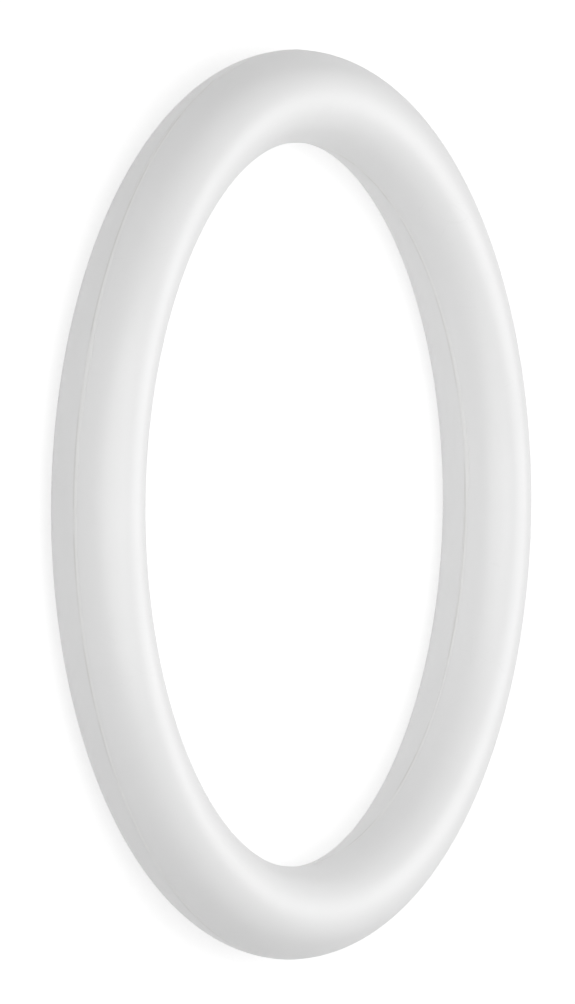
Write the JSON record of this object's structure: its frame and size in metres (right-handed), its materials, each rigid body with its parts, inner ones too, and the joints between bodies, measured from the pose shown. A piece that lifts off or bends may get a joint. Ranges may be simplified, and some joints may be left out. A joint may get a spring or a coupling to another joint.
{
  "type": "rhythmic hand hoop",
  "caption": "Closed ring of fat round section, held in the hand, built here as two moulded half-round shells glued together along the fine seam in its mid-plane.",
  "frame": {"origin": "centre of the ring, in the plane of the seam", "axes": "+Z along the ring's axis, up from the lower shell to the upper shell as the ring lies flat; X and Y across the ring, which is alike all round"},
  "size_m": [0.2351, 0.2352, 0.0236],
  "materials": {
    "white_shell": "smooth satin moulded plastic, neutral white",
    "cured_glue": "cured clear-white adhesive, wiped flush to slightly proud"
  },
  "bodies": {
    "root": {"upper_shell": "white_shell", "lower_shell": "white_shell", "outer_glue_bead": "cured_glue", "inner_glue_bead": "cured_glue"}
  },
  "joints": []
}
